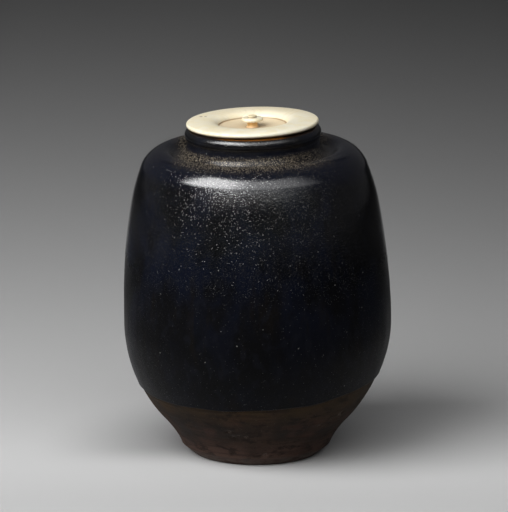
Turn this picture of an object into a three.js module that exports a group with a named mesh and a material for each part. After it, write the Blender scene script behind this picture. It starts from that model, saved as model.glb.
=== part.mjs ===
// A small lidded tea jar: a thin pot thrown in dark stoneware, dipped in an iron-black glaze that stops
// in a level line above the foot, and closed by a turned ivory lid with gold-leafed paper under it.
// Millimetres, +Z up. The origin is the centre of the foot, on the surface that the jar stands on.
import * as THREE from "three";

// The pot, measured on its bare clay. Degrees are the wall's lean outwards from upright at that place.
const footRadius = 16.8;
const footEdgeSpread = 2.9;
const footEdgeRise = 2.4;
const footBendShares = [0.4, 0.33];
const footEdgeDegrees = 21;
const bellyRadius = 34.7;
const bellyHeight = 34.8;
const shoulderRise = 46.05;
const collarWidth = 6.55;
const collarDip = 1.9;
const neckFlare = 2.6;
const neckFlareRise = 4.2;
const neckRadius = 17.05;
const neckRise = 5.55;
const lipSwell = 0.45;
const lipSwellShare = 0.3;
const lipRound = 1.5;
const mouthRound = 0.5;
const wall = 2.6;
const floorThickness = 4.5;
const floorRound = 5;

// Places between the foot's edge and the belly, and between the belly and the crest of the shoulder:
// how far out or in, and how far up
const flareShares = [0.34, 0.232];
const flareDegrees = 43;
const flankShares = [0.261, 0.714];
const flankDegrees = -11;
const shoulderShares = [0.495, 0.903];
const shoulderDegrees = -20;

// How the pot dried out of true: the belly stands a little to +X, the neck to -X, and the mouth is tilted
const bellyShift = 0.45;
const bellyShiftReach = 14;
const neckShift = -0.9;
const neckShiftPower = 5;
const mouthTiltDegrees = 1.9;
const mouthTiltPower = 7;

// The glaze, a glass skin on the clay, gathered into a bead at its lower edge
const glazeThickness = 0.3;
const glazeBond = 0.05;
const glazeLineHeight = 17;
const beadSpread = 0.7;
const beadEdgeShare = 0.5;
const beadCrownShare = 1.4;

// The lid
const lidSeatGap = 0.3;
const lidInset = 0.62;
const lidEdge = 1.2;
const lidCrown = 0.3;
const crownRadius = 12.6;
const crownDegrees = 9;
const lidClearance = 0.5;
const flangeDepth = 2.4;
const flangeBevel = 0.35;
const recessRadius = 8.9;
const recessWall = 1.55;
const recessBrowShares = [0.49, 0.03, 0.77];
const recessBowl = 0.5;
const recessBowlShare = 0.5;

// The knob
const tenonRadius = 0.95;
const stemRadius = 1.35;
const stemFlare = 0.35;
const stemHeight = 1.55;
const knobRadius = 2.75;
const knobThickness = 0.97;
const buttonRadius = 1.1;
const buttonHeight = 0.63;
const glueLine = 0.05;

// The gold-leafed paper
const liningThickness = 0.25;
const liningInset = 0.15;

const aroundJar = 40;
const aroundKnob = 24;
const handleShare = 0.326;
const halvings = 40;

const clay = new THREE.MeshStandardMaterial({ color: 0x3a2c24, roughness: 0.75, metalness: 0 });
const glaze = new THREE.MeshStandardMaterial({ color: 0x14151b, roughness: 0.18, metalness: 0 });
const ivory = new THREE.MeshStandardMaterial({ color: 0xefe4c8, roughness: 0.35, metalness: 0 });
const goldLeaf = new THREE.MeshStandardMaterial({ color: 0xc9a24a, roughness: 0.35, metalness: 1 });

const at = (radius, height) => new THREE.Vector2(radius, height);

const place = (radius, height, degrees) => ({ point: at(radius, height), degrees });

function placeBetween(low, high, [outShare, upShare], degrees) {
  const radius = THREE.MathUtils.lerp(low.point.x, high.point.x, outShare);
  const height = THREE.MathUtils.lerp(low.point.y, high.point.y, upShare);
  return place(radius, height, degrees);
}

// A smooth stretch of the profile between two places, leaving and arriving at their angles
function stretch(from, to) {
  const reach = handleShare * from.point.distanceTo(to.point);
  const onward = ({ point, degrees }, distance) => {
    const angle = THREE.MathUtils.degToRad(degrees);
    return at(point.x + distance * Math.sin(angle), point.y + distance * Math.cos(angle));
  };
  return new THREE.CubicBezierCurve(from.point, onward(from, reach), onward(to, -reach), to.point);
}

function sample(curve, fromShare, toShare, steps) {
  return Array.from({ length: steps }, (_, i) =>
    curve.getPoint(THREE.MathUtils.lerp(fromShare, toShare, (i + 1) / steps)),
  );
}

// How far along a rising curve a height is reached
function shareAtHeight(curve, height) {
  let low = 0;
  let high = 1;
  for (let i = 0; i < halvings; i++) {
    const middle = (low + high) / 2;
    if (curve.getPoint(middle).y < height) low = middle;
    else high = middle;
  }
  return low;
}

// An outline moved outwards by one distance, or by one for each of its points
function offset(points, distances) {
  return points.map((point, i) => {
    const before = points[Math.max(i - 1, 0)];
    const after = points[Math.min(i + 1, points.length - 1)];
    const along = after.clone().sub(before).normalize();
    const distance = Array.isArray(distances) ? distances[i] : distances;
    return at(point.x + along.y * distance, point.y - along.x * distance);
  });
}

// The profile of the clay from its foot to its mouth
const footEdge = place(footRadius + footEdgeSpread, footEdgeRise, footEdgeDegrees);
const belly = place(bellyRadius, bellyHeight, 0);
const crest = place(neckRadius + collarWidth, bellyHeight + shoulderRise, -90);
const flare = placeBetween(footEdge, belly, flareShares, flareDegrees);
const flank = placeBetween(belly, crest, flankShares, flankDegrees);
const shoulder = placeBetween(belly, crest, shoulderShares, shoulderDegrees);
const collarHeight = crest.point.y - collarDip;
const neckFoot = collarHeight + neckFlareRise;
const rimHeight = crest.point.y + neckRise;
const innerRadius = neckRadius - wall;

// The foot is rounded over from the face that it stands on
function footCorner() {
  const [outShare, upShare] = footBendShares;
  const low = at(footRadius, 0);
  const bend = at(footRadius + outShare * footEdgeSpread, upShare * footEdgeRise);
  return sample(new THREE.QuadraticBezierCurve(low, bend, footEdge.point), 0, 1, 2);
}

const swell = stretch(flare, belly);
const lineShare = shareAtHeight(swell, glazeLineHeight);
const beadShare = shareAtHeight(swell, glazeLineHeight + beadSpread);
const bareSide = [...sample(stretch(footEdge, flare), 0, 1, 3), ...sample(swell, 0, lineShare, 2)];
const glazedSide = [
  ...sample(swell, lineShare, beadShare, 2),
  ...sample(swell, beadShare, 1, 4),
  ...sample(stretch(belly, flank), 0, 1, 4),
  ...sample(stretch(flank, shoulder), 0, 1, 2),
  ...sample(stretch(shoulder, crest), 0, 1, 5),
];

// The shoulder sinks from its crest into a shallow valley, which sweeps up into the neck
function collar() {
  const end = at(neckRadius + neckFlare, collarHeight);
  const reach = at((crest.point.x - end.x) / 2, 0);
  const sink = new THREE.CubicBezierCurve(
    crest.point,
    crest.point.clone().sub(reach),
    end.clone().add(reach),
    end,
  );
  const turn = new THREE.Path();
  turn.absellipse(end.x, neckFoot, neckFlare, neckFlareRise, -Math.PI / 2, -Math.PI, true);
  return [...sample(sink, 0, 1, 4), ...turn.getPoints(2).slice(1)];
}

// The lip swells outwards and rolls over into the mouth
function lip() {
  const rollRadius = neckRadius + lipSwell - lipRound;
  const rollHeight = rimHeight - lipRound;
  const swellHeight = THREE.MathUtils.lerp(neckFoot, rollHeight, lipSwellShare);
  const swellBend = (swellHeight + rollHeight) / 2;
  const roll = new THREE.Path();
  roll.moveTo(neckRadius, swellHeight);
  roll.quadraticCurveTo(neckRadius + lipSwell, swellBend, neckRadius + lipSwell, rollHeight);
  roll.absarc(rollRadius, rollHeight, lipRound, 0, Math.PI / 2, false);
  roll.lineTo(innerRadius + mouthRound, rimHeight);
  roll.quadraticCurveTo(innerRadius, rimHeight, innerRadius, rimHeight - mouthRound);
  return roll.getPoints(2);
}

const glazeEnd = at(innerRadius, (neckFoot + rimHeight) / 2);
const glazedSkin = [bareSide.at(-1), ...glazedSide, ...collar(), ...lip(), glazeEnd];

// The hollow follows the outside at one wall's thickness, and is rounded into the floor
function hollow() {
  const outside = [footEdge.point, ...bareSide, ...glazedSide, ...collar()];
  const inside = offset(outside, -wall).filter((p) => p.y > floorThickness + floorRound);
  const low = inside[0];
  const bend = at(low.x - floorRound, floorThickness);
  const flat = at(bend.x - floorRound, floorThickness);
  return [...inside.reverse(), ...sample(new THREE.QuadraticBezierCurve(low, bend, flat), 0, 1, 3)];
}

function clayPot() {
  return [
    at(0, 0),
    at(footRadius, 0),
    ...footCorner(),
    ...bareSide,
    ...glazedSkin.slice(1),
    ...hollow(),
    at(0, floorThickness),
  ];
}

// The glaze ends below in a thick bead, and inside the mouth in a thin edge
function glazeCoat() {
  const last = glazedSkin.length - 1;
  const thicknessShares = new Map([
    [0, beadEdgeShare],
    [1, beadCrownShare],
    [2, beadCrownShare],
    [last, beadEdgeShare],
  ]);
  const reaches = glazedSkin.map((_, i) => glazeBond + glazeThickness * (thicknessShares.get(i) ?? 1));
  const outside = offset(glazedSkin, reaches);
  return [...outside, ...offset(glazedSkin, glazeBond).reverse(), outside[0]];
}

// The lid, in a frame whose origin is on its axis, level with the face that seats on the rim
const glazeOuter = glazeBond + glazeThickness;
const lidRadius = neckRadius + lipSwell + glazeOuter - lidInset;
const crownHeight = lidEdge + lidCrown;
const recessCorner = crownHeight - recessWall;
const recessFloor = recessCorner - recessBowl;
const flangeRadius = innerRadius - glazeOuter - lidClearance;
const holeRadius = tenonRadius + glueLine;

// The rim of the lid is a rounded band. From its crown it falls to the corner of a bowl-shaped recess
function lidPlate() {
  const plate = new THREE.Path();
  const half = lidEdge / 2;
  const slope = THREE.MathUtils.degToRad(crownDegrees);
  const crownSpan = crownRadius - recessRadius;
  const [crownReach, browDraft, browRise] = recessBrowShares;
  plate.moveTo(holeRadius, -flangeDepth);
  plate.lineTo(flangeRadius - flangeBevel, -flangeDepth);
  plate.lineTo(flangeRadius, flangeBevel - flangeDepth);
  plate.lineTo(flangeRadius, 0);
  plate.lineTo(lidRadius - half, 0);
  plate.absarc(lidRadius - half, half, half, -Math.PI / 2, Math.PI / 2 - slope, false);
  const edge = plate.currentPoint.clone();
  const bend = edge.x - (crownHeight - edge.y) / Math.tan(slope);
  plate.quadraticCurveTo(bend, crownHeight, crownRadius, crownHeight);
  plate.bezierCurveTo(
    crownRadius - crownReach * crownSpan,
    crownHeight,
    recessRadius + browDraft * crownSpan,
    recessCorner + browRise * recessWall,
    recessRadius,
    recessCorner,
  );
  plate.quadraticCurveTo(recessBowlShare * recessRadius, recessFloor, stemRadius + stemFlare, recessFloor);
  plate.lineTo(holeRadius, recessFloor);
  plate.lineTo(holeRadius, -flangeDepth);
  return plate.getPoints(4);
}

function lidKnob() {
  const knob = new THREE.Path();
  const foot = recessFloor + glueLine;
  const half = knobThickness / 2;
  const middle = recessFloor + stemHeight + half;
  const top = middle + half + buttonHeight;
  knob.moveTo(0, -flangeDepth);
  knob.lineTo(tenonRadius, -flangeDepth);
  knob.lineTo(tenonRadius, foot);
  knob.lineTo(stemRadius + stemFlare, foot);
  knob.quadraticCurveTo(stemRadius, foot, stemRadius, foot + stemHeight / 2);
  knob.lineTo(stemRadius, middle - half);
  knob.lineTo(knobRadius - half, middle - half);
  knob.absarc(knobRadius - half, middle, half, -Math.PI / 2, Math.PI / 2, false);
  knob.lineTo(buttonRadius, middle + half);
  knob.lineTo(buttonRadius, top - buttonHeight / 3);
  knob.quadraticCurveTo(buttonRadius, top, 0, top);
  return knob.getPoints(3);
}

function goldLining() {
  const radius = flangeRadius - flangeBevel - liningInset;
  const top = -flangeDepth - glueLine;
  return [at(0, top - liningThickness), at(radius, top - liningThickness), at(radius, top), at(0, top)];
}

// Where the lean puts a height of the pot, and how far it tips it
const mouthHeight = rimHeight + glazeOuter;
function leanAt(height) {
  const bulge = Math.exp(-(((height - bellyHeight) / bellyShiftReach) ** 2));
  const rise = height / mouthHeight;
  return {
    shift: bellyShift * bulge + neckShift * rise ** neckShiftPower,
    tilt: THREE.MathUtils.degToRad(mouthTiltDegrees) * rise ** mouthTiltPower,
  };
}

function leanOver(geometry) {
  const points = geometry.getAttribute("position");
  for (let i = 0; i < points.count; i++) {
    const x = points.getX(i);
    const { shift, tilt } = leanAt(points.getZ(i));
    points.setX(i, x * Math.cos(tilt) + shift);
    points.setZ(i, points.getZ(i) + x * Math.sin(tilt));
  }
  return geometry;
}

function turned(points, around) {
  return new THREE.LatheGeometry(points, around).rotateX(Math.PI / 2);
}

function named(name, geometry, material) {
  const mesh = new THREE.Mesh(geometry, material);
  mesh.name = name;
  return mesh;
}

const jar = new THREE.Group();
jar.add(named("clay_pot", leanOver(turned(clayPot(), aroundJar)), clay));
jar.add(named("glaze_coat", leanOver(turned(glazeCoat(), aroundJar)), glaze));

const lid = new THREE.Group();
const mouth = leanAt(mouthHeight);
lid.position.set(
  mouth.shift - lidSeatGap * Math.sin(mouth.tilt),
  0,
  mouthHeight + lidSeatGap * Math.cos(mouth.tilt),
);
lid.rotation.y = -mouth.tilt;
lid.add(named("lid_plate", turned(lidPlate(), aroundJar), ivory));
lid.add(named("lid_knob", turned(lidKnob(), aroundKnob), ivory));
lid.add(named("gold_lining", turned(goldLining(), aroundJar), goldLeaf));
jar.add(lid);

export default jar;
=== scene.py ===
import math

import bmesh
import bpy
import numpy as np
from mathutils import Matrix, noise


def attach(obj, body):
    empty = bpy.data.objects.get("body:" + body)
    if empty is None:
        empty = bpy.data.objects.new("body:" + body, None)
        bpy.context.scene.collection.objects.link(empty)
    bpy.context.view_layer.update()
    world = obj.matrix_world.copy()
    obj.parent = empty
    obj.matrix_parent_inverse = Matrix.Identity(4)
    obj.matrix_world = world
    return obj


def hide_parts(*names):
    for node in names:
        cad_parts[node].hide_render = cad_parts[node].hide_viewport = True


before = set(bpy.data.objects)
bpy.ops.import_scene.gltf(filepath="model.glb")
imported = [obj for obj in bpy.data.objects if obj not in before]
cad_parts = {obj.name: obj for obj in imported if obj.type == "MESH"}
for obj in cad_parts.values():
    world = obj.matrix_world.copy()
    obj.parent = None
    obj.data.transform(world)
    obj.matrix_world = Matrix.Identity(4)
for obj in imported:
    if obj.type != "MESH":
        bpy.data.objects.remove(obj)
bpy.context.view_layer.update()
mm = 0.001


# The pot
# One piece, thrown thin in a dark iron-bearing stoneware, cut from the wheel with a thread and
# trimmed below the belly. It dried a little out of true, and it is bare only below the glaze line.
foot_radius = 16.8 * mm
foot_edge_spread = 2.9 * mm
foot_edge_rise = 2.4 * mm
foot_bend_shares = np.array([0.4, 0.33])
foot_edge_degrees = 21
belly_radius = 34.7 * mm
belly_height = 34.8 * mm
shoulder_rise = 46.05 * mm
collar_width = 6.55 * mm
collar_dip = 1.9 * mm
neck_flare = 2.6 * mm
neck_flare_rise = 4.2 * mm
neck_radius = 17.05 * mm
neck_rise = 5.55 * mm
lip_swell = 0.45 * mm
lip_swell_share = 0.3
lip_round = 1.5 * mm
mouth_round = 0.5 * mm
wall = 2.6 * mm
floor_thickness = 4.5 * mm
floor_round = 5 * mm
flare_shares = np.array([0.34, 0.232])
flare_degrees = 43
flank_shares = np.array([0.261, 0.714])
flank_degrees = -11
shoulder_shares = np.array([0.495, 0.903])
shoulder_degrees = -20
handle_share = 0.326
belly_shift = 0.45 * mm
belly_shift_reach = 14 * mm
neck_shift = -0.9 * mm
neck_shift_power = 5
mouth_tilt = math.radians(1.9)
mouth_tilt_power = 7
glaze_start = 17 * mm
bare_top = 23 * mm
glaze_skin = 0.35 * mm
around_pot = 360
weld_distance = 0.0001 * mm


def curve(handles, steps):
    """Points along the Bezier curve with these handles, without its start."""
    share = np.linspace(0, 1, steps + 1)[1:, None]
    points = [np.asarray(handle, float) for handle in handles]
    while len(points) > 1:
        points = [a + (b - a) * share for a, b in zip(points, points[1:])]
    return points[0]


def line(start, end, steps):
    """Points along a straight line, without its start."""
    return curve([start, end], steps)


def arc(centre, radii, start_degrees, end_degrees, steps):
    """Points along an arc of a circle, or of an ellipse if it has two radii, without its start."""
    turn = np.radians(np.linspace(start_degrees, end_degrees, steps + 1))[1:]
    return np.asarray(centre) + np.stack([np.cos(turn), np.sin(turn)], axis=1) * radii


def wall_stretch(start, start_degrees, end, end_degrees, steps):
    """A smooth stretch of the wall, which leaves and arrives at these leans from upright."""
    reach = handle_share * math.dist(start, end)
    leans = np.radians([start_degrees, end_degrees])
    leave, arrive = reach * np.stack([np.sin(leans), np.cos(leans)], axis=1)
    return curve([start, start + leave, end - arrive, end], steps)


def outwards(outline, closed=False):
    """The unit direction out of the piece, square to the outline, at each of its points."""
    if closed:
        along = np.roll(outline, -1, axis=0) - np.roll(outline, 1, axis=0)
    else:
        along = np.gradient(outline, axis=0)
    along /= np.linalg.norm(along, axis=1)[:, None]
    return np.stack([along[:, 1], -along[:, 0]], axis=1)


# The outline from the foot up over the lip to where the glaze ends inside, as radius and height. Its
# fixed points come first, then the stretches between them, each with its count of steps.
foot_edge = np.array([foot_radius + foot_edge_spread, foot_edge_rise])
belly = np.array([belly_radius, belly_height])
crest = np.array([neck_radius + collar_width, belly_height + shoulder_rise])
flare = foot_edge + (belly - foot_edge) * flare_shares
flank = belly + (crest - belly) * flank_shares
shoulder = belly + (crest - belly) * shoulder_shares
foot_low = np.array([foot_radius, 0])
foot_bend = foot_low + (foot_edge - foot_low) * foot_bend_shares
collar_end = np.array([neck_radius + neck_flare, crest[1] - collar_dip])
collar_reach = np.array([(crest[0] - collar_end[0]) / 2, 0])
neck_foot = collar_end[1] + neck_flare_rise
rim_height = crest[1] + neck_rise
inner_radius = neck_radius - wall
roll = np.array([neck_radius + lip_swell - lip_round, rim_height - lip_round])
swell_height = neck_foot + (roll[1] - neck_foot) * lip_swell_share
swell_bend = [neck_radius + lip_swell, (swell_height + roll[1]) / 2]
mouth_edge = [inner_radius + mouth_round, rim_height]
mouth_end = [inner_radius, rim_height - mouth_round]
glaze_end = [inner_radius, (neck_foot + rim_height) / 2]
foot_corner = np.vstack([[foot_low], curve([foot_low, foot_bend, foot_edge], 12)])
side = np.vstack([
    wall_stretch(foot_edge, foot_edge_degrees, flare, flare_degrees, 36),
    wall_stretch(flare, flare_degrees, belly, 0, 96),
    wall_stretch(belly, 0, flank, flank_degrees, 84),
    wall_stretch(flank, flank_degrees, shoulder, shoulder_degrees, 30),
    wall_stretch(shoulder, shoulder_degrees, crest, -90, 40),
    curve([crest, crest - collar_reach, collar_end + collar_reach, collar_end], 20),
    arc([collar_end[0], neck_foot], [neck_flare, neck_flare_rise], -90, -180, 22),
])
lip = np.vstack([
    line([neck_radius, neck_foot], [neck_radius, swell_height], 2),
    curve([[neck_radius, swell_height], swell_bend, [neck_radius + lip_swell, roll[1]]], 6),
    arc(roll, lip_round, 0, 90, 14),
    line([roll[0], rim_height], mouth_edge, 2),
    curve([mouth_edge, [inner_radius, rim_height], mouth_end], 5),
    line(mouth_end, glaze_end, 5),
])
skin = np.vstack([foot_corner, side, lip])
line_row = int(np.argmax(skin[:, 1] > glaze_start))
bare_row = int(np.argmax(skin[:, 1] > bare_top))


def leaned(points):
    """Where the dried pot has the points of the upright one."""
    x, y, z = np.moveaxis(points, -1, 0)
    rise = z / (rim_height + glaze_skin)
    bulge = np.exp(-(((z - belly_height) / belly_shift_reach) ** 2))
    tilt = mouth_tilt * rise**mouth_tilt_power
    shift = belly_shift * bulge + neck_shift * rise**neck_shift_power
    return np.stack([x * np.cos(tilt) + shift, y, z + x * np.sin(tilt)], axis=-1)


def cloud(points, size, drift):
    """Smooth random values, one for each point, whose swells are about one size across."""
    places = (points / size + drift).reshape(-1, 3)
    return np.array([noise.noise(place) for place in places]).reshape(points.shape[:-1])


def wheel(around):
    """The angles of the columns of points round a turned piece."""
    return 2 * np.pi * np.arange(around) / around


def swept(outline, around, out=0, along=0, closed=False):
    """The points that an outline passes through as it turns, slid on along it and moved out of it."""
    angle = wheel(around)
    stretches = np.linalg.norm(np.diff(outline, axis=0), axis=1)
    reached = np.r_[0, np.cumsum(stretches)]
    places = reached[:, None] + along + 0 * angle
    tracks = (*outline.T, *outwards(outline, closed).T)
    radius, height, out_share, up_share = (np.interp(places, reached, track) for track in tracks)
    radius = radius + out * out_share
    return np.stack([radius * np.cos(angle), radius * np.sin(angle), height + out * up_share], axis=-1)


def built(name, points, faces):
    """A new piece in the scene: a mesh with these points and faces."""
    mesh = bpy.data.meshes.new(name)
    mesh.from_pydata(np.reshape(points, (-1, 3)).tolist(), [], np.reshape(faces, (-1, 4)).tolist())
    piece = bpy.data.objects.new(name, mesh)
    bpy.context.scene.collection.objects.link(piece)
    return piece


def turned(name, points, closed=False):
    """Makes a mesh of swept points, whose rows are welded into one point where they meet the axis."""
    rows, around = points.shape[:2]
    ids = np.arange(rows * around).reshape(rows, around)
    upper = np.roll(ids, -1, axis=0) if closed else ids[1:]
    lower = ids if closed else ids[:-1]
    corners = [lower, np.roll(lower, -1, axis=1), np.roll(upper, -1, axis=1), upper]
    piece = built(name, points, np.stack(corners, axis=-1))
    weld = bmesh.new()
    weld.from_mesh(piece.data)
    bmesh.ops.remove_doubles(weld, verts=weld.verts, dist=weld_distance)
    weld.to_mesh(piece.data)
    weld.free()
    piece.data.shade_smooth()
    return piece


# The thread that cut the pot off leaves a spiral of fine grooves under the foot, off the centre
thread_pitch = 0.95 * mm
thread_depth = 0.11 * mm
thread_fade = 2 * mm
thread_centre = np.array([-3.5, 2]) * mm
foot_face = np.vstack([[[0, 0]], line([0, 0], foot_low, 72)[:-1]])
from_centre = swept(foot_face, around_pot)[..., :2] - thread_centre
thread_turn = np.arctan2(from_centre[..., 1], from_centre[..., 0])
thread_phase = 2 * np.pi * np.linalg.norm(from_centre, axis=-1) / thread_pitch + thread_turn
thread_reach = np.clip((foot_radius - foot_face[:, :1]) / thread_fade, 0, 1)
foot_relief = -thread_depth * thread_reach * (0.5 + 0.5 * np.sin(thread_phase))

# The pot was dipped a little askew, so the line where its glaze ends rises to the right, and wavers.
# Each wave has its count round the pot, its height and where it starts.
line_height = 19.1 * mm
line_waves = [
    (1, 1.6 * mm, 0),
    (2, 0.8 * mm, 0),
    (5, 0.14 * mm, 2.2),
    (9, 0.10 * mm, 0.4),
    (16, 0.06 * mm, 1.3),
]
line_waver = sum(rise * np.cos(count * wheel(around_pot) + start) for count, rise, start in line_waves)
line_heights = line_height + line_waver

# Trimming with a bamboo blade leaves shallow lines that climb round the flare
trim_pitch = 1.35 * mm
trim_depth = 0.016 * mm
trim_patch = 7 * mm
trim_end = 1.5 * mm
sway_depth = 0.07 * mm
sway_size = 9 * mm
foot_wear = 0.8 * mm
bare_side = skin[:bare_row]
bare_points = swept(bare_side, around_pot)
trim_phase = 2 * np.pi * bare_points[..., 2] / trim_pitch - wheel(around_pot)
trim_strength = 0.5 + 0.5 * cloud(bare_points * [1, 1, 3], trim_patch, 3.1)
side_relief = trim_depth * trim_strength * (np.sin(trim_phase) - 1)
side_relief += sway_depth * (cloud(bare_points, sway_size, 7.7) - 0.6)
side_relief *= np.clip((line_heights - bare_points[..., 2]) / trim_end, 0, 1)
side_relief *= np.clip(bare_points[..., 2] / foot_wear, 0, 1)

# Small scars: degrees round from the front to +X, height, length, width, slant in degrees and depth
scars = [
    (-15.5, 11.2 * mm, 1.0 * mm, 0.30 * mm, 4, 0.30 * mm),
    (-14.0, 9.4 * mm, 0.9 * mm, 0.50 * mm, -20, 0.28 * mm),
    (-10.5, 9.9 * mm, 0.6 * mm, 0.40 * mm, 50, 0.20 * mm),
    (-6.0, 9.7 * mm, 0.9 * mm, 0.35 * mm, 25, 0.11 * mm),
    (51, 13.9 * mm, 1.5 * mm, 0.40 * mm, 38, 0.30 * mm),
    (46, 13.2 * mm, 0.8 * mm, 0.35 * mm, 30, 0.26 * mm),
    (39, 11.8 * mm, 0.5 * mm, 0.40 * mm, 0, 0.12 * mm),
    (7, 3.6 * mm, 1.1 * mm, 0.60 * mm, 10, 0.22 * mm),
    (152, 8.6 * mm, 1.2 * mm, 0.35 * mm, 12, 0.13 * mm),
    (-118, 12.4 * mm, 0.9 * mm, 0.40 * mm, -35, 0.12 * mm),
]
for degrees, height, length, width, slant, depth in scars:
    turn = np.angle(np.exp(1j * (wheel(around_pot) + np.pi / 2 - math.radians(degrees))))
    sideways = turn * bare_side[:, :1]
    upwards = bare_points[..., 2] - height
    tip = math.radians(slant)
    lengthwise = sideways * math.cos(tip) + upwards * math.sin(tip)
    crosswise = upwards * math.cos(tip) - sideways * math.sin(tip)
    side_relief -= depth * np.exp(-((lengthwise / length) ** 2) - (crosswise / width) ** 2)

# The thrower's fingers leave a slow spiral of soft rings inside, which fade out in the neck. The inside
# and the wall under the glaze take fewer rows of points.
ring_pitch = 4.2 * mm
ring_depth = 0.13 * mm
ring_fade = 3 * mm
hidden_stride = 3
inner_stride = 2
hidden_side = skin[bare_row::hidden_stride]
inner_side = (side - outwards(side) * wall)[::-inner_stride]
inner_side = inner_side[inner_side[:, 1] > floor_thickness + floor_round]
floor_bend = [inner_side[-1][0] - floor_round, floor_thickness]
floor_edge = [floor_bend[0] - floor_round, floor_thickness]
hollow = np.vstack([inner_side, curve([inner_side[-1], floor_bend, floor_edge], 16)])
hollow_points = swept(hollow, around_pot)
ring_phase = 2 * np.pi * hollow_points[..., 2] / ring_pitch - wheel(around_pot)
ring_reach = np.clip((collar_end[1] - wall - hollow_points[..., 2]) / ring_fade, 0, 1)
hollow_relief = ring_depth * ring_reach * (0.5 + 0.5 * np.sin(ring_phase))

pot_floor = line(floor_edge, [0, floor_thickness], 12)
pot_outline = np.vstack([foot_face, bare_side, hidden_side, hollow, pot_floor])
pot_relief = np.vstack([
    foot_relief,
    side_relief,
    np.zeros([len(hidden_side), around_pot]),
    hollow_relief,
    np.zeros([len(pot_floor), around_pot]),
])


def surface(name):
    """A new material, its node tree, its shader and the position on the piece."""
    material = bpy.data.materials.new(name)
    material.use_nodes = True
    tree = material.node_tree
    position = tree.nodes.new("ShaderNodeTexCoord").outputs["Object"]
    return material, tree, tree.nodes["Principled BSDF"], position


def add(tree, kind, values=None, **settings):
    """Adds a node. Each value is a number for a socket, or another node's output to wire to it."""
    made = tree.nodes.new(kind)
    for name, setting in settings.items():
        setattr(made, name, setting)
    for socket, value in (values or {}).items():
        if isinstance(value, bpy.types.NodeSocket):
            tree.links.new(value, made.inputs[socket])
        else:
            made.inputs[socket].default_value = value
    return made


def swells(tree, position, size, detail=2, stretch=(1, 1, 1), rough=0.5, seed=0):
    """Random swells of one size, from 0 to 1. A stretch above 1 draws them out along that axis."""
    place = add(tree, "ShaderNodeMapping", {"Vector": position, "Location": (seed, seed / 2, -seed)})
    place.inputs["Scale"].default_value = [1 / (size * along) for along in stretch]
    values = {"Vector": place.outputs[0], "Scale": 1, "Detail": detail, "Roughness": rough}
    return add(tree, "ShaderNodeTexNoise", values).outputs["Fac"]


def fade(tree, value, start, end, low=0, high=1):
    """Goes smoothly from low to high while a value goes from start to end."""
    values = {"Value": value, "From Min": start, "From Max": end, "To Min": low, "To Max": high}
    return add(tree, "ShaderNodeMapRange", values, interpolation_type="SMOOTHSTEP").outputs[0]


def combine(tree, first, second, operation="ADD"):
    """Two values added, or put through another operation."""
    return add(tree, "ShaderNodeMath", {0: first, 1: second}, operation=operation).outputs[0]


def product(tree, first, *others):
    """Values multiplied with each other."""
    for other in others:
        first = combine(tree, first, other, "MULTIPLY")
    return first


def vector(tree, first, second, operation, output=0):
    """Two vectors put through an operation."""
    return add(tree, "ShaderNodeVectorMath", {0: first, 1: second}, operation=operation).outputs[output]


def layered(tree, share, under, over):
    """One colour over another, by a share from 0 to 1. A plain colour is given as red, green, blue."""
    colours = [(*colour, 1) if isinstance(colour, tuple) else colour for colour in (under, over)]
    values = {0: share, 6: colours[0], 7: colours[1]}
    return add(tree, "ShaderNodeMix", values, data_type="RGBA", clamp_factor=True).outputs[2]


def embossed(tree, shader, height, depth, strength=1.0, under=None):
    """Gives a shader fine relief from a height of 0 to 1 that stands for this depth."""
    values = {"Height": height, "Distance": depth, "Strength": strength}
    if under:
        values["Normal"] = under
    relief = add(tree, "ShaderNodeBump", values).outputs[0]
    tree.links.new(relief, shader.inputs["Normal"])
    return relief


def distance_from_axis(tree, position, x=0):
    """How far a point is from an upright axis that stands at this x."""
    beside = vector(tree, position, (x, 0, 0), "SUBTRACT")
    return vector(tree, vector(tree, beside, (1, 1, 0), "MULTIPLY"), (0, 0, 0), "DISTANCE", "Value")


# The clay's colours, and the heights at which a tint begins and is full
clay_dark = (0.0120, 0.0078, 0.0055)
clay_brown = (0.0300, 0.0185, 0.0130)
blush_red = (0.042, 0.0185, 0.0125)
foot_pink = (0.050, 0.0300, 0.0235)
flash_ochre = (0.034, 0.0215, 0.0090)
trail_brown = (0.0110, 0.0080, 0.0062)
soot_black = (0.0075, 0.0052, 0.0042)
scuff_grey = (0.105, 0.082, 0.070)
sand_grey = (0.105, 0.085, 0.072)
scar_grey = (0.085, 0.068, 0.057)
pink_heights = (9 * mm, 3 * mm)
flash_heights = (12 * mm, 19 * mm)
scuff_heights = (3.4 * mm, 0.6 * mm)


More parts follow.
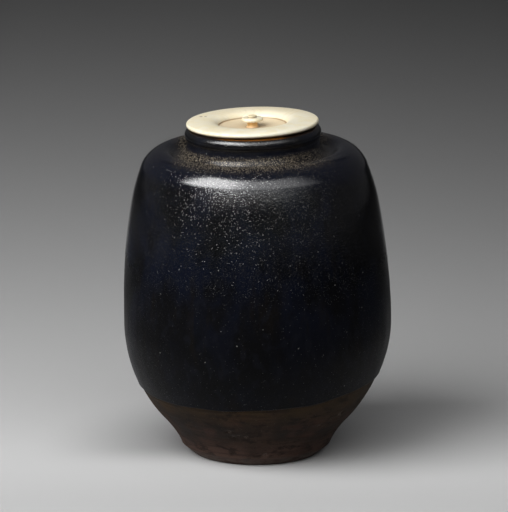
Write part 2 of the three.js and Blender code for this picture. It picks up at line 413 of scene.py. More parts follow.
def stoneware():
    """Dry dark brown clay: iron spots and soot, ochre flashing under the glaze, scuffs on the foot."""
    material, tree, shader, position = surface("stoneware")
    height = add(tree, "ShaderNodeSeparateXYZ", {0: position}).outputs["Z"]
    patches = swells(tree, position, 9 * mm, 3, seed=2)
    blush = swells(tree, position, 8 * mm, 2, (1, 1, 0.6), seed=5)
    soot = swells(tree, position, 2.6 * mm, 5, (1.6, 1.6, 0.8), rough=0.68, seed=13)
    trails = swells(tree, position, 0.7 * mm, 3, (16, 16, 1), seed=8)
    grain = swells(tree, position, 0.38 * mm, 3, rough=0.65, seed=1)
    colour = layered(tree, fade(tree, patches, 0.36, 0.66), clay_dark, clay_brown)
    colour = layered(tree, fade(tree, blush, 0.48, 0.68, 0, 0.6), colour, blush_red)
    pink = product(tree, fade(tree, height, *pink_heights), fade(tree, patches, 0.3, 0.55, 0.35, 0.85))
    colour = layered(tree, pink, colour, foot_pink)
    flashing = product(tree, fade(tree, height, *flash_heights), fade(tree, blush, 0.25, 0.5, 0.25, 0.7))
    colour = layered(tree, flashing, colour, flash_ochre)
    colour = layered(tree, fade(tree, trails, 0.50, 0.68, 0, 0.45), colour, trail_brown)
    colour = layered(tree, fade(tree, soot, 0.50, 0.64, 0, 0.75), colour, soot_black)
    scuffed = product(tree, fade(tree, height, *scuff_heights), fade(tree, soot, 0.36, 0.56), 0.6)
    colour = layered(tree, scuffed, colour, scuff_grey)
    colour = layered(tree, fade(tree, grain, 0.60, 0.72, 0, 0.30), colour, sand_grey)
    for degrees, level, length, *_ in scars:
        reach = np.interp(level, bare_side[:, 1], bare_side[:, 0])
        turn = math.radians(degrees)
        spot = (reach * math.sin(turn), -reach * math.cos(turn), level)
        away = vector(tree, position, spot, "DISTANCE", "Value")
        torn = product(tree, fade(tree, away, 0.9 * length, 0.2 * length), fade(tree, grain, 0.46, 0.58))
        colour = layered(tree, torn, colour, scar_grey)
    tree.links.new(colour, shader.inputs["Base Color"])
    tree.links.new(fade(tree, patches, 0.3, 0.7, 0.56, 0.72), shader.inputs["Roughness"])
    shader.inputs["IOR"].default_value = 1.4
    shader.inputs["Specular IOR Level"].default_value = 0.1
    relief = embossed(tree, shader, trails, 0.05 * mm, 0.4)
    relief = embossed(tree, shader, soot, 0.16 * mm, 0.5, relief)
    embossed(tree, shader, grain, 0.04 * mm, 0.5, relief)
    return material


pot = turned("stoneware_pot", leaned(swept(pot_outline, around_pot, out=pot_relief)))
pot.data.materials.append(stoneware())
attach(pot, "jar")
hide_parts("clay_pot")


# The glaze
# An iron-black glass about a third of a millimetre thick, from one dip upside down: its lip is amber on
# top, mostly at the front and back, and it gathers in a rolled bead above the bare foot. Silver and
# gold-brown crystals grew in it.
glaze_bond = 0.05 * mm
glaze_body = 0.25 * mm
bead_crown = 0.05 * mm
bead_round = 0.3 * mm
bead_fall = 0.9 * mm
bead_hold = 1.5 * mm
line_hold = 20 * mm
run_depth = 0.028 * mm
run_size = 7 * mm
peel_depth = 0.006 * mm
peel_size = 1.3 * mm
mouth_taper = 1.2 * mm
back_stride = 4
coated = skin[line_row:]
travel = np.r_[0, np.cumsum(np.linalg.norm(np.diff(coated, axis=0), axis=1))][:, None]
edge_rise = np.sqrt(1 - (1 - np.clip(travel / bead_round, 0, 1)) ** 2)
end_fall = np.sqrt(1 - (1 - np.clip((travel[-1] - travel) / mouth_taper, 0, 1)) ** 2)
coated_points = swept(coated, around_pot)
thickness = glaze_body + bead_crown * np.exp(-((travel / bead_fall) ** 2))
thickness = thickness + run_depth * cloud(coated_points * [1, 1, 0.7], run_size, 4.4)
thickness += peel_depth * cloud(coated_points, peel_size, 9.2)
glaze_face = glaze_bond + thickness * edge_rise * end_fall
glaze_back = coated[::-back_stride]
glaze_outline = np.vstack([coated, glaze_back])
glaze_out = np.vstack([glaze_face, np.full([len(glaze_back), around_pot], -glaze_bond)])


def smooth(value, start, end):
    """Goes smoothly from 0 to 1 while a value goes from start to end."""
    share = np.clip((value - start) / (end - start), 0, 1)
    return share * share * (3 - 2 * share)


# The bead slides up the wall to the line, and the glaze above it gives way
wall_rows = coated[:, 1] < belly_height
climb = np.interp(line_heights, coated[wall_rows, 1], travel[wall_rows, 0])
share_held = 1 - smooth(travel, bead_hold, line_hold)
glaze_along = climb * np.vstack([share_held, -share_held[::-back_stride]])

# The glass and its crystals. Each pair is where something begins and is full: heights, or distances
# out from the neck's axis or from the middle of the jar.
glass_black = (0.0023, 0.0023, 0.0027)
glass_navy = (0.0033, 0.0045, 0.0098)
run_brown = (0.0050, 0.0040, 0.0032)
mottle_blue = (0.0060, 0.0066, 0.0095)
powder_blue = (0.0100, 0.0106, 0.0145)
ring_navy = (0.0036, 0.0044, 0.0095)
flake_silver = (0.120, 0.118, 0.115)
gold_haze = (0.018, 0.0155, 0.0125)
gold_brown = (0.150, 0.123, 0.087)
gold_bright = (0.25, 0.215, 0.165)
crystal_glint_grey = (0.15, 0.15, 0.14)
lip_amber = (0.180, 0.066, 0.010)
navy_heights = (30 * mm, 58 * mm)
powder_heights = (36 * mm, 58 * mm)
ring_heights = (74 * mm, 77.5 * mm)
ring_top_heights = (84 * mm, 82 * mm)
flake_size = 0.24 * mm
flake_heights = (44 * mm, 68 * mm)
flake_lean = 0.6
loose_lean = 0.8
loose_rarity = 26
neck_axis = -0.6 * mm
gold_side_radius = 20.8 * mm
gold_front_radius = 26.9 * mm
gold_spill = (2 * mm, 20 * mm)
gold_raggedness = 2.4 * mm
gold_edge = (2.0 * mm, -1.6 * mm)
gold_top_heights = (82.6 * mm, 81.0 * mm)
gold_thinning = (6 * mm, 22 * mm)
sand_size = 0.34 * mm
crystal_glint_spacing = 4.6 * mm
amber_middle = -1.2 * mm
amber_reach = (6 * mm, 10 * mm)
amber_heights = (86.0 * mm, 86.4 * mm)
amber_radii = (17.1 * mm, 16.8 * mm)
satin_heights = (62 * mm, 42 * mm)
gloss_heights = (52 * mm, 66 * mm)
lip_heights = (84.0 * mm, 85.0 * mm)
pebble_size = 0.9 * mm


def silver_flakes(tree, position, height, clouds):
    """Where flat crystals lie in the glass, and which way its face looks there. Each flake is tilted a
    little, a few of them far, and mirrors the light where it faces it."""
    cells = add(tree, "ShaderNodeTexVoronoi", {"Vector": position, "Scale": 1 / flake_size})
    draw = add(tree, "ShaderNodeTexWhiteNoise", {"Vector": cells.outputs["Position"]}).outputs["Value"]
    flake = fade(tree, cells.outputs["Distance"], 0.36, 0.27)
    loose = combine(tree, draw, loose_rarity, "POWER")
    tipping = product(tree, flake, combine(tree, product(tree, loose, loose_lean), flake_lean))
    direction = vector(tree, cells.outputs["Color"], (0.5, 0.5, 0.5), "SUBTRACT")
    tilt = add(tree, "ShaderNodeVectorMath", {0: direction, "Scale": tipping}, operation="SCALE").outputs[0]
    straight = add(tree, "ShaderNodeNewGeometry").outputs["Normal"]
    faced = vector(tree, vector(tree, straight, tilt, "ADD"), (0, 0, 0), "NORMALIZE")
    patchy = fade(tree, clouds, 0.3, 0.6, 0.6, 1)
    rich = product(tree, fade(tree, height, *flake_heights, 0.02, 0.95), patchy)
    chosen = fade(tree, combine(tree, draw, rich), 0.98, 1.02)
    return product(tree, flake, chosen), faced


def gold_crowd(tree, position, level, radius, mottle):
    """Where gold-brown crystals crowd the valley round the neck. They spill over the crest at front and
    back, and thin out to the right."""
    along_x, along_y = add(tree, "ShaderNodeSeparateXYZ", {0: position}).outputs[:2]
    away = combine(tree, along_y, 0, "ABSOLUTE")
    spill = fade(tree, away, *gold_spill, gold_side_radius, gold_front_radius)
    ragged = combine(tree, radius, product(tree, mottle, gold_raggedness))
    within = fade(tree, combine(tree, ragged, spill, "SUBTRACT"), *gold_edge)
    below_top = fade(tree, level, *gold_top_heights)
    return product(tree, within, below_top, fade(tree, along_x, *gold_thinning, 1, 0.4))


def iron_glaze():
    """Blue-black glass with navy clouds, silver flakes, a gold-brown collar and an amber lip."""
    material, tree, shader, position = surface("iron_glaze")
    along_x, _, height = add(tree, "ShaderNodeSeparateXYZ", {0: position}).outputs[:3]
    level = vector(tree, position, (-math.sin(mouth_tilt), 0, math.cos(mouth_tilt)), "DOT_PRODUCT", "Value")
    radius = distance_from_axis(tree, position, neck_axis)
    clouds = swells(tree, position, 11 * mm, 3, (1, 1, 1.5), seed=3)
    mottle = swells(tree, position, 2.2 * mm, 3, (1, 1, 1.6), seed=7)
    runs = swells(tree, position, 3 * mm, 3, (1, 1, 4), seed=6)
    powder = swells(tree, position, 0.26 * mm, 2, rough=0.7, seed=15)
    speckle = swells(tree, position, 0.32 * mm, 2, rough=0.6, seed=9)

    # Black glass with navy clouds, brown runs and a blue powder of crystals too fine to tell apart
    navy = product(tree, fade(tree, clouds, 0.44, 0.64), fade(tree, height, *navy_heights, 0.25, 1))
    colour = layered(tree, navy, glass_black, glass_navy)
    colour = layered(tree, fade(tree, runs, 0.54, 0.72, 0, 0.5), colour, run_brown)
    colour = layered(tree, fade(tree, mottle, 0.50, 0.66, 0, 0.4), colour, mottle_blue)
    powdered = product(tree, fade(tree, powder, 0.54, 0.68), fade(tree, height, *powder_heights, 0.15, 0.9))
    colour = layered(tree, powdered, colour, powder_blue)
    ring = product(tree, fade(tree, height, *ring_heights), fade(tree, level, *ring_top_heights))
    colour = layered(tree, ring, colour, ring_navy)

    silver, faced = silver_flakes(tree, position, height, clouds)
    colour = layered(tree, silver, colour, flake_silver)

    # Gold-brown crystals round the neck, with a few larger and brighter ones among them
    crowd = gold_crowd(tree, position, level, radius, mottle)
    gold = product(tree, crowd, fade(tree, speckle, 0.50, 0.62), fade(tree, mottle, 0.25, 0.5, 0.45, 1))
    colour = layered(tree, product(tree, crowd, 0.5), colour, gold_haze)
    colour = layered(tree, gold, colour, gold_brown)
    sand = add(tree, "ShaderNodeTexVoronoi", {"Vector": position, "Scale": 1 / sand_size})
    pick = add(tree, "ShaderNodeTexWhiteNoise", {"Vector": sand.outputs["Position"]}).outputs["Value"]
    bright = product(tree, fade(tree, sand.outputs["Distance"], 0.40, 0.28), fade(tree, pick, 0.60, 0.68))
    colour = layered(tree, product(tree, bright, crowd), colour, gold_bright)

    # A few pale crystal specks anywhere, painted bright as glints of light, and amber on top of the lip
    # mostly at the front and back
    crystal_glint_cells = add(tree, "ShaderNodeTexVoronoi", {"Vector": position, "Scale": 1 / crystal_glint_spacing})
    colour = layered(tree, fade(tree, crystal_glint_cells.outputs["Distance"], 0.050, 0.018), colour, crystal_glint_grey)
    sideways = combine(tree, combine(tree, along_x, amber_middle, "SUBTRACT"), 0, "ABSOLUTE")
    amber = product(
        tree,
        fade(tree, level, *amber_heights),
        fade(tree, radius, *amber_radii),
        fade(tree, sideways, *amber_reach, 1, 0.08),
    )
    colour = layered(tree, amber, colour, lip_amber)
    tree.links.new(colour, shader.inputs["Base Color"])
    tree.links.new(silver, shader.inputs["Metallic"])

    # Satin low down and glossy higher up, under a clear coat that the gold crystals break up
    satin = fade(tree, height, *satin_heights, 0, 0.28)
    dulled = combine(tree, satin, product(tree, gold, 0.2))
    dulled = combine(tree, fade(tree, runs, 0.3, 0.7, 0.11, 0.17), dulled)
    tree.links.new(dulled, shader.inputs["Roughness"])
    shader.inputs["IOR"].default_value = 1.16
    shader.inputs["Coat IOR"].default_value = 1.7
    shader.inputs["Coat Roughness"].default_value = 0.12
    cover = product(tree, fade(tree, height, *gloss_heights), fade(tree, crowd, 0, 1, 1, 0.2))
    tree.links.new(cover, shader.inputs["Coat Weight"])
    spacing = {"Vector": position, "Scale": 1 / pebble_size}
    pebbles = add(tree, "ShaderNodeTexVoronoi", spacing, feature="SMOOTH_F1").outputs["Distance"]
    relief = embossed(tree, shader, pebbles, 0.02 * mm, 0.4, faced)
    embossed(tree, shader, speckle, 0.012 * mm, 0.5, relief)
    roughened = fade(tree, level, *lip_heights, 0.03 * mm, 0.075 * mm)
    coat_relief = add(tree, "ShaderNodeBump", {"Height": speckle, "Distance": roughened, "Strength": 0.9})
    tree.links.new(coat_relief.outputs[0], shader.inputs["Coat Normal"])
    return material


glaze_points = swept(glaze_outline, around_pot, glaze_out, glaze_along, closed=True)
glaze = turned("iron_glaze", leaned(glaze_points), closed=True)
glaze.data.materials.append(iron_glaze())
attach(glaze, "jar")
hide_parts("glaze_coat")


# The lid
# A disc turned in ivory: a rounded rim, a sunk bowl, a centring step below and two small natural pits.
# It lies on the rim by its own weight. Handling has polished it, and tea has stained the bowl's corner.
lid_seat_gap = 0.3 * mm
lid_inset = 0.62 * mm
lid_edge = 1.2 * mm
lid_crown = 0.3 * mm
crown_radius = 12.6 * mm
crown_degrees = 9
lid_clearance = 0.5 * mm
flange_depth = 2.4 * mm
flange_bevel = 0.35 * mm
recess_radius = 8.9 * mm
recess_wall = 1.55 * mm
crown_reach_share = 0.49
brow_draft_share = 0.03
brow_rise_share = 0.77
recess_bowl = 0.5 * mm
recess_bowl_share = 0.5
stem_radius = 1.35 * mm
stem_flare = 0.35 * mm
tenon_radius = 0.95 * mm
glue_line = 0.05 * mm
around_lid = 288
half_edge = lid_edge / 2
lid_radius = neck_radius + lip_swell + glaze_skin - lid_inset
flange_radius = inner_radius - glaze_skin - lid_clearance
bevel_in = flange_radius - flange_bevel
hole_radius = tenon_radius + glue_line
crown_height = lid_edge + lid_crown
crown_span = crown_radius - recess_radius
corner_height = crown_height - recess_wall
bowl_height = corner_height - recess_bowl
edge_arc = arc([lid_radius - half_edge, half_edge], half_edge, -90, 90 - crown_degrees, 18)
edge_bend = edge_arc[-1][0] - (crown_height - edge_arc[-1][1]) / math.tan(math.radians(crown_degrees))
crown = [crown_radius, crown_height]
crown_reach = [crown_radius - crown_reach_share * crown_span, crown_height]
brow = [recess_radius + brow_draft_share * crown_span, corner_height + brow_rise_share * recess_wall]
recess_corner = [recess_radius, corner_height]
bowl_end = [stem_radius + stem_flare, bowl_height]
lid_outline = np.vstack([
    line([hole_radius, -flange_depth], [bevel_in, -flange_depth], 24),
    line([bevel_in, -flange_depth], [flange_radius, flange_bevel - flange_depth], 3),
    line([flange_radius, flange_bevel - flange_depth], [flange_radius, 0], 6),
    line([flange_radius, 0], [lid_radius - half_edge, 0], 8),
    edge_arc,
    curve([edge_arc[-1], [edge_bend, crown_height], crown], 22),
    curve([crown, crown_reach, brow, recess_corner], 34),
    curve([recess_corner, [recess_bowl_share * recess_radius, bowl_height], bowl_end], 48),
    line(bowl_end, [hole_radius, bowl_height], 3),
    line([hole_radius, bowl_height], [hole_radius, -flange_depth], 6),
])

# Two pits in the ivory, near the left edge: place and size
pits = [(-13.4 * mm, 5.6 * mm, 0.40 * mm), (-12.2 * mm, 5.5 * mm, 0.32 * mm)]
pit_depth = 0.16 * mm
unevenness = 0.01 * mm
unevenness_size = 6 * mm
lid_points = swept(lid_outline, around_lid)
lid_relief = unevenness * (cloud(lid_points, unevenness_size, 2.6) - 0.8)
for x, y, size in pits:
    away = np.hypot(lid_points[..., 0] - x, lid_points[..., 1] - y)
    lid_relief -= (lid_points[..., 2] > half_edge) * pit_depth * np.exp(-((away / size) ** 2))

# The ivory's colours, stains and painted shade. Each pair is where a stain or a shade begins and is full.
ivory_cream = (0.865, 0.790, 0.600)
ivory_pale = (0.885, 0.835, 0.675)
ivory_yellow = (0.85, 0.755, 0.49)
ivory_painted_shade = (0.86, 0.76, 0.545)
growth_tan = (0.66, 0.54, 0.35)
pore_brown = (0.55, 0.43, 0.27)
bowl_tan = (0.70, 0.565, 0.375)
knob_shade_tan = (0.60, 0.46, 0.28)
corner_brown = (0.34, 0.215, 0.105)
knob_foot_shade_brown = (0.22, 0.13, 0.06)
rim_brown = (0.30, 0.17, 0.065)
pit_brown = (0.13, 0.065, 0.02)
growth_centre = (-5 * mm, 11 * mm, 0)
growth_width = 0.55 * mm
growth_drift = 3.5 * mm
painted_shade_depth = (-8 * mm, 16 * mm)
bowl_radii = (recess_radius + 0.1 * mm, recess_radius - 0.1 * mm)
knob_shade_radii = (6.5 * mm, 2.5 * mm)
corner_stain_radii = (recess_radius - 0.55 * mm, recess_radius - 0.1 * mm)
corner_stain_heights = (corner_height + 0.32 * mm, corner_height + 0.05 * mm)
knob_foot_shade_radii = (2.3 * mm, 1.6 * mm)
lower_rim_radii = (lid_radius - 0.45 * mm, lid_radius - 0.15 * mm)
lower_rim_heights = (0.55 * mm, 0.2 * mm)


def ivory(name, stains_and_shade):
    """Polished cream ivory: faint growth arcs, fine pores and yellowing, painted shade towards the back,
    and the stains and painted shade that each piece is given.
    """
    material, tree, shader, position = surface(name)
    along_y = add(tree, "ShaderNodeSeparateXYZ", {0: position}).outputs["Y"]
    bent = vector(tree, position, growth_centre, "SUBTRACT")
    reach = vector(tree, vector(tree, bent, (1, 1.25, 0), "MULTIPLY"), (0, 0, 0), "DISTANCE", "Value")
    drift = swells(tree, position, 8 * mm, 2, seed=4)
    reach = combine(tree, reach, product(tree, drift, growth_drift))
    across = add(tree, "ShaderNodeCombineXYZ", {0: reach}).outputs[0]
    growth = swells(tree, across, growth_width, 3, seed=11)
    broad = swells(tree, position, 7 * mm, 2, seed=14)
    pores = swells(tree, position, 0.3 * mm, 2, seed=17)
    yellowed = swells(tree, position, 2.4 * mm, 3, seed=16)
    colour = layered(tree, fade(tree, broad, 0.35, 0.65), ivory_cream, ivory_pale)
    colour = layered(tree, fade(tree, yellowed, 0.44, 0.64, 0, 0.6), colour, ivory_yellow)
    # Painted shade: yellower and darker towards the back
    colour = layered(tree, fade(tree, along_y, *painted_shade_depth, 0, 0.6), colour, ivory_painted_shade)
    colour = layered(tree, fade(tree, growth, 0.54, 0.72, 0, 0.26), colour, growth_tan)
    colour = layered(tree, fade(tree, pores, 0.60, 0.74, 0, 0.12), colour, pore_brown)
    colour = stains_and_shade(tree, colour, position, broad)
    tree.links.new(colour, shader.inputs["Base Color"])
    tree.links.new(fade(tree, growth, 0.3, 0.7, 0.30, 0.40), shader.inputs["Roughness"])
    shader.inputs["IOR"].default_value = 1.5
    embossed(tree, shader, growth, 0.02 * mm, 0.2)
    return material


def lid_stains_and_shade(tree, colour, position, broad):
    """Tan in the bowl, a thin brown line in its corner, a brown line along the rim's lower edge and brown
    in the pits. Painted shade darkens the bowl towards the knob, and more round the knob's foot.
    """
    radius = distance_from_axis(tree, position)
    height = add(tree, "ShaderNodeSeparateXYZ", {0: position}).outputs["Z"]
    colour = layered(tree, fade(tree, radius, *bowl_radii, 0, 0.9), colour, bowl_tan)
    # Painted shade: the bowl darkens towards the knob
    colour = layered(tree, fade(tree, radius, *knob_shade_radii, 0, 0.5), colour, knob_shade_tan)
    low = fade(tree, height, *corner_stain_heights)
    uneven = fade(tree, broad, 0.25, 0.7, 0.55, 1)
    corner = product(tree, fade(tree, radius, *corner_stain_radii), low, uneven)
    colour = layered(tree, corner, colour, corner_brown)
    # Painted shade round the knob's foot
    colour = layered(tree, fade(tree, radius, *knob_foot_shade_radii, 0, 0.6), colour, knob_foot_shade_brown)
    # A brown line along the lid's lower edge
    rim = product(tree, fade(tree, radius, *lower_rim_radii), 0.7, fade(tree, height, *lower_rim_heights))
    colour = layered(tree, rim, colour, rim_brown)
    for x, y, size in pits:
        away = vector(tree, position, (x, y, crown_height), "DISTANCE", "Value")
        colour = layered(tree, fade(tree, away, 1.5 * size, 0.7 * size, 0, 0.95), colour, pit_brown)
    return colour


mouth_height = rim_height + glaze_skin
mouth = leaned(np.array([0, 0, mouth_height]))
seat = Matrix.Translation([
    mouth[0] - lid_seat_gap * math.sin(mouth_tilt),
    0,
    mouth_height + lid_seat_gap * math.cos(mouth_tilt),
]) @ Matrix.Rotation(-mouth_tilt, 4, "Y")

lid = turned("ivory_lid", swept(lid_outline, around_lid, out=lid_relief, closed=True), closed=True)
lid.matrix_world = seat
lid.data.materials.append(ivory("lid_ivory", lid_stains_and_shade))
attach(lid, "lid")
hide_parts("lid_plate")


# The knob
# Turned from its own small piece of ivory: a short waisted stem, a round collar and a domed button.
# Its tenon is glued into the hole in the lid's middle, and the stem has aged to amber.
stem_height = 1.55 * mm
knob_radius = 2.75 * mm
knob_thickness = 0.97 * mm
button_radius = 1.1 * mm
button_height = 0.63 * mm
button_crease = 0.1 * mm
around_knob = 128
stem_foot = bowl_height + glue_line
knob_low = bowl_height + stem_height
half_knob = knob_thickness / 2
knob_high = knob_low + knob_thickness
knob_top = knob_high + button_height
knob_middle = [knob_radius - half_knob, knob_low + half_knob]
stem_edge = [stem_radius + stem_flare, stem_foot]
stem_waist = [stem_radius, stem_foot + stem_height / 2]
button_foot = [button_radius, knob_high]
button_neck = [button_radius - button_crease, knob_high + button_crease]
button_side = [button_radius, knob_top - button_height / 3]
knob_outline = np.vstack([
    [[0, -flange_depth]],
    line([0, -flange_depth], [tenon_radius, -flange_depth], 4),
    line([tenon_radius, -flange_depth], [tenon_radius, stem_foot], 8),
    line([tenon_radius, stem_foot], stem_edge, 3),
    curve([stem_edge, [stem_radius, stem_foot], stem_waist], 8),
    line(stem_waist, [stem_radius, knob_low], 5),
    line([stem_radius, knob_low], [knob_middle[0], knob_low], 6),
    arc(knob_middle, half_knob, -90, 90, 20),
    line([knob_middle[0], knob_high], button_foot, 8),
    curve([button_foot, [button_radius - button_crease, knob_high], button_neck], 4),
    curve([button_neck, [button_radius, knob_high + 2 * button_crease], button_side], 5),
    curve([button_side, [button_radius, knob_top], [0, knob_top]], 16),
])

# The knob's stains and painted shade. Each pair is where a stain or a shade begins and is full.
stem_amber = (0.74, 0.46, 0.165)
stem_pink = (0.82, 0.56, 0.31)
crease_shade_brown = (0.26, 0.16, 0.07)
button_top_shade = (0.66, 0.55, 0.34)
stem_heights = (knob_low + 0.1 * mm, knob_low)
stem_radii = (2.4 * mm, 1.7 * mm)
stem_foot_heights = (stem_foot + 0.6 * mm, stem_foot + 0.2 * mm)
crease_shade_widths = (0.2 * mm, 0.04 * mm)
crease_shade_heights = (knob_high + 0.28 * mm, knob_high + 0.1 * mm)
button_top_shade_heights = (knob_high + 0.3 * mm, knob_high + 0.5 * mm)


def knob_stains_and_shade(tree, colour, position, broad):
    """Amber on the stem, painted shade in a brown line where the button meets the collar, and painted
    shade on the button's top.
    """
    height = add(tree, "ShaderNodeSeparateXYZ", {0: position}).outputs["Z"]
    radius = distance_from_axis(tree, position)
    on_stem = product(tree, fade(tree, height, *stem_heights), fade(tree, radius, *stem_radii))
    colour = layered(tree, product(tree, on_stem, 0.9), colour, stem_amber)
    pink_foot = product(tree, on_stem, fade(tree, height, *stem_foot_heights), 0.8)
    colour = layered(tree, pink_foot, colour, stem_pink)
    # Painted shade in the crease where the button meets the collar
    beside = combine(tree, combine(tree, radius, button_radius, "SUBTRACT"), 0, "ABSOLUTE")
    low = fade(tree, height, *crease_shade_heights)
    uneven = fade(tree, broad, 0.3, 0.6, 0.5, 0.9)
    crease = product(tree, fade(tree, beside, *crease_shade_widths), low, uneven)
    colour = layered(tree, crease, colour, crease_shade_brown)
    # Painted shade on the button's top
    shaded_top = product(tree, fade(tree, height, *button_top_shade_heights), 0.7)
    return layered(tree, shaded_top, colour, button_top_shade)


knob = turned("ivory_knob", swept(knob_outline, around_knob))
knob.matrix_world = seat
knob.data.materials.append(ivory("knob_ivory", knob_stains_and_shade))
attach(knob, "lid")
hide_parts("lid_knob")


# The gold paper
# A disc of thin paper, covered in gold leaf and pasted under the lid, a little short of the step's edge.
# It has wrinkled softly, and the squares of leaf overlap in faint lines.
lining_thickness = 0.25 * mm
lining_inset = 0.15 * mm
wrinkle_depth = 0.09 * mm
wrinkle_size = 4.5 * mm
leaf_width = 13 * mm
leaf_depth = 11 * mm
leaf_overlap = 0.12 * mm
leaf_deep = (0.80, 0.56, 0.20)
leaf_bright = (0.90, 0.68, 0.30)
overlap_gold = (0.68, 0.44, 0.14)
rubbed_brown = (0.42, 0.30, 0.17)
around_paper = 200
lining_radius = bevel_in - lining_inset
lining_top = -flange_depth - glue_line
lining_low = lining_top - lining_thickness
lining_outline = np.vstack([
    [[0, lining_low]],
    line([0, lining_low], [lining_radius, lining_low], 48),
    line([lining_radius, lining_low], [lining_radius, lining_top], 2),
    line([lining_radius, lining_top], [0, lining_top], 6),
])
lining_points = swept(lining_outline, around_paper)
lower_face = lining_points[..., 2] < (lining_top + lining_low) / 2
lining_relief = -wrinkle_depth * lower_face * np.abs(cloud(lining_points, wrinkle_size, 5.5))


def gold_leaf():
    """Soft beaten gold on wrinkled paper, with the overlaps of its leaves and a few rubbed places."""
    material, tree, shader, position = surface("gold_leaf")
    wear = swells(tree, position, 1.8 * mm, 4, seed=21)
    crease = swells(tree, position, 1.2 * mm, 3, seed=23)
    leaves = add(tree, "ShaderNodeTexBrick", {
        "Vector": position, "Scale": 1, "Mortar Size": leaf_overlap, "Mortar Smooth": 0.6,
        "Brick Width": leaf_width, "Row Height": leaf_depth,
    })
    gold = layered(tree, fade(tree, wear, 0.35, 0.65), leaf_deep, leaf_bright)
    colour = layered(tree, leaves.outputs["Fac"], gold, overlap_gold)
    rubbed = fade(tree, wear, 0.68, 0.76)
    colour = layered(tree, rubbed, colour, rubbed_brown)
    tree.links.new(colour, shader.inputs["Base Color"])
    tree.links.new(fade(tree, rubbed, 0, 1, 1, 0.2), shader.inputs["Metallic"])
    tree.links.new(fade(tree, crease, 0.3, 0.7, 0.26, 0.42), shader.inputs["Roughness"])
    embossed(tree, shader, crease, 0.06 * mm, 0.4)
    return material


paper = turned("gold_paper", swept(lining_outline, around_paper, out=lining_relief))
paper.matrix_world = seat
paper.data.materials.append(gold_leaf())
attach(paper, "lid")
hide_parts("gold_lining")


# The studio
# A sheet of pale paper, with painted shade that darkens it in front, beside and behind, and painted
# shadows by the foot and to the right behind the jar. A long curved bank of silk, brightest at the left,
# lights the jar, with a low one at the left that the glaze doesn't mirror and a weak one behind. The jar
# is seen through a long lens.
floor_half = 6
floor_sink = 0.02 * mm
quarters = [(-1, -1), (1, -1), (1, 1), (-1, 1)]
floor = built("floor", [(x * floor_half, y * floor_half, -floor_sink) for x, y in quarters], [(0, 1, 2, 3)])

# Each pair is where the paper begins to change its painted shade, and where it has done so
paper_grey = (0.535, 0.535, 0.535)
front_edge = (-0.11, -0.06)
near_front = (-0.055, -0.015)
side_edge = (0.17, 0.085)
painted_right_shadow = (-0.05, 0.11)
painted_right_shadow_depth = (0.01, 0.07)
depth_fall = 2.5
painted_foot_shadow_radii = (foot_radius, 3.6 * foot_radius)
painted_foot_shadow_y = (-1.1 * foot_radius, 0.1 * foot_radius)
painted_foot_shadow_x = (-0.3 * foot_radius, 0.8 * foot_radius)


def pale_paper():
    """Matt paper, pale round the jar, with painted shade that greys it with distance, and painted shadows
    beside the foot and to the right behind the jar.
    """
    material, tree, shader, position = surface("pale_paper")
    along_x, along_y = add(tree, "ShaderNodeSeparateXYZ", {0: position}).outputs[:2]
    behind = combine(tree, along_y, 0, "MAXIMUM")
    # Painted shadow of the jar on the paper, to the right and behind it
    right = product(tree, fade(tree, along_x, *painted_right_shadow, 0, 0.2), fade(tree, along_y, *painted_right_shadow_depth))
    # Painted shadow of the foot on the paper, beside it and behind it, mostly at the left
    painted_foot_shadow = product(
        tree,
        fade(tree, distance_from_axis(tree, position), *painted_foot_shadow_radii, 0.45, 0),
        fade(tree, along_y, *painted_foot_shadow_y),
        fade(tree, along_x, *painted_foot_shadow_x, 1, 0.1),
    )
    # Painted shade: the paper greys in front, beside and behind, away from the jar
    shade = product(
        tree,
        fade(tree, along_y, *front_edge, 0.08, 1),
        fade(tree, combine(tree, along_x, 0, "ABSOLUTE"), *side_edge, 0.15, 1),
        fade(tree, along_y, *near_front, 0.9, 1),
        combine(tree, 1, right, "SUBTRACT"),
        combine(tree, product(tree, behind, -depth_fall), 0, "EXPONENT"),
        combine(tree, 1, painted_foot_shadow, "SUBTRACT"),
    )
    colour = layered(tree, shade, (0, 0, 0), paper_grey)
    tree.links.new(colour, shader.inputs["Base Color"])
    shader.inputs["Roughness"].default_value = 0.9
    shader.inputs["Specular IOR Level"].default_value = 0.1
    return material


floor.data.materials.append(pale_paper())

# The banks' brightness, and the degrees between which each one comes up from dark at either end
lamp_glow = 5.3
lamp_left = (-87, -77)
lamp_right = (-8, -34)
silk_glow = 2.8
silk_left = (-87, -65)
silk_right = (85, 45)
silk_full_to = -10
silk_fall = 70
low_silk_glow = 6.0
low_silk_left = (-112, -80)
low_silk_right = (-30, -62)
rim_silk_glow = 0.08
rim_silk_left = (148, 165)
rim_silk_right = (212, 195)
bank_distance = 1.1
bank_centre = np.array([0, 0, crest[1]])
bank_columns = 90
bank_rows = 10


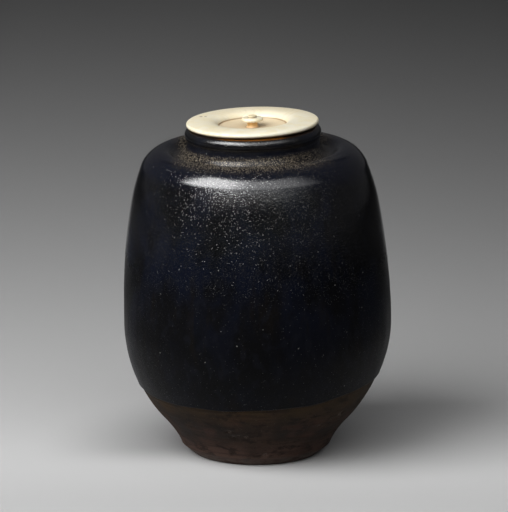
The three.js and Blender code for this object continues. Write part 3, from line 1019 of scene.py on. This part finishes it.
def light_bank(name, left, right, low, high, glow):
    """A band of a sphere round the jar, lit through silk. Degrees are counted from the camera's side to
    the right, and upwards. Glow gives the brightness for each of them."""
    turn = np.linspace(left, right, bank_columns)
    round_it = np.radians(turn)
    lift = np.radians(np.linspace(low, high, bank_rows))[:, None]
    level = np.cos(lift)
    grid = np.stack([level * np.sin(round_it), -level * np.cos(round_it), np.sin(lift) + 0 * turn], axis=-1)
    ids = np.arange(bank_rows * bank_columns).reshape(bank_rows, bank_columns)
    corners = [ids[:-1, :-1], ids[:-1, 1:], ids[1:, 1:], ids[1:, :-1]]
    silk = built(name, bank_centre + bank_distance * grid, np.stack(corners, axis=-1))
    shine = silk.data.attributes.new("glow", "FLOAT", "POINT")
    shine.data.foreach_set("value", np.tile(glow(turn), bank_rows))
    material = bpy.data.materials.new(name)
    material.use_nodes = True
    tree = material.node_tree
    strength = add(tree, "ShaderNodeAttribute", attribute_name="glow").outputs["Fac"]
    lit = add(tree, "ShaderNodeEmission", {"Color": (1, 1, 1, 1), "Strength": strength})
    tree.links.new(lit.outputs[0], tree.nodes["Material Output"].inputs["Surface"])
    silk.data.materials.append(material)
    silk.visible_camera = False
    return silk


def key_glow(turn):
    """A bright stretch at the left of the camera, then weaker and weaker to the right."""
    lamp = lamp_glow * smooth(turn, *lamp_left) * smooth(turn, *lamp_right)
    weaker = np.exp(-np.clip(turn - silk_full_to, 0, None) / silk_fall)
    silk = silk_glow * smooth(turn, *silk_left) * weaker * smooth(turn, *silk_right)
    return lamp + silk


def low_glow(turn):
    """Soft at both ends."""
    return low_silk_glow * smooth(turn, *low_silk_left) * smooth(turn, *low_silk_right)


def rim_glow(turn):
    """Weak and even, softer at its ends."""
    return rim_silk_glow * smooth(turn, *rim_silk_left) * smooth(turn, *rim_silk_right)


light_bank("key_bank", -88, 86, 26, 62, key_glow)
low_bank = light_bank("low_bank", -112, -30, -4, 5, low_glow)
low_bank.visible_glossy = False
light_bank("rim_bank", 148, 212, 26, 60, rim_glow)

room_grey = (0.045, 0.045, 0.047, 1)
world = bpy.data.worlds.new("studio")
world.use_nodes = True
world.node_tree.nodes["Background"].inputs["Color"].default_value = room_grey
bpy.context.scene.world = world

camera_target = np.array([-0.39 * mm, 0, 42 * mm])
camera_distance = 1.3
camera_elevation = math.radians(14.2)
camera_lift = math.radians(0.426)
camera_turn = math.radians(0.006)
camera_lens = 349.2
sight = np.array([0, -math.cos(camera_elevation), math.sin(camera_elevation)])
camera = bpy.data.objects.new("camera", bpy.data.cameras.new("camera"))
camera.location = camera_target + camera_distance * sight
camera.rotation_euler = (math.pi / 2 - camera_elevation + camera_lift, 0, camera_turn)
camera.data.lens = camera_lens
camera.data.clip_start = 0.05
camera.data.clip_end = 50
bpy.context.scene.collection.objects.link(camera)
bpy.context.scene.camera = camera
bpy.context.scene.view_settings.view_transform = "Standard"
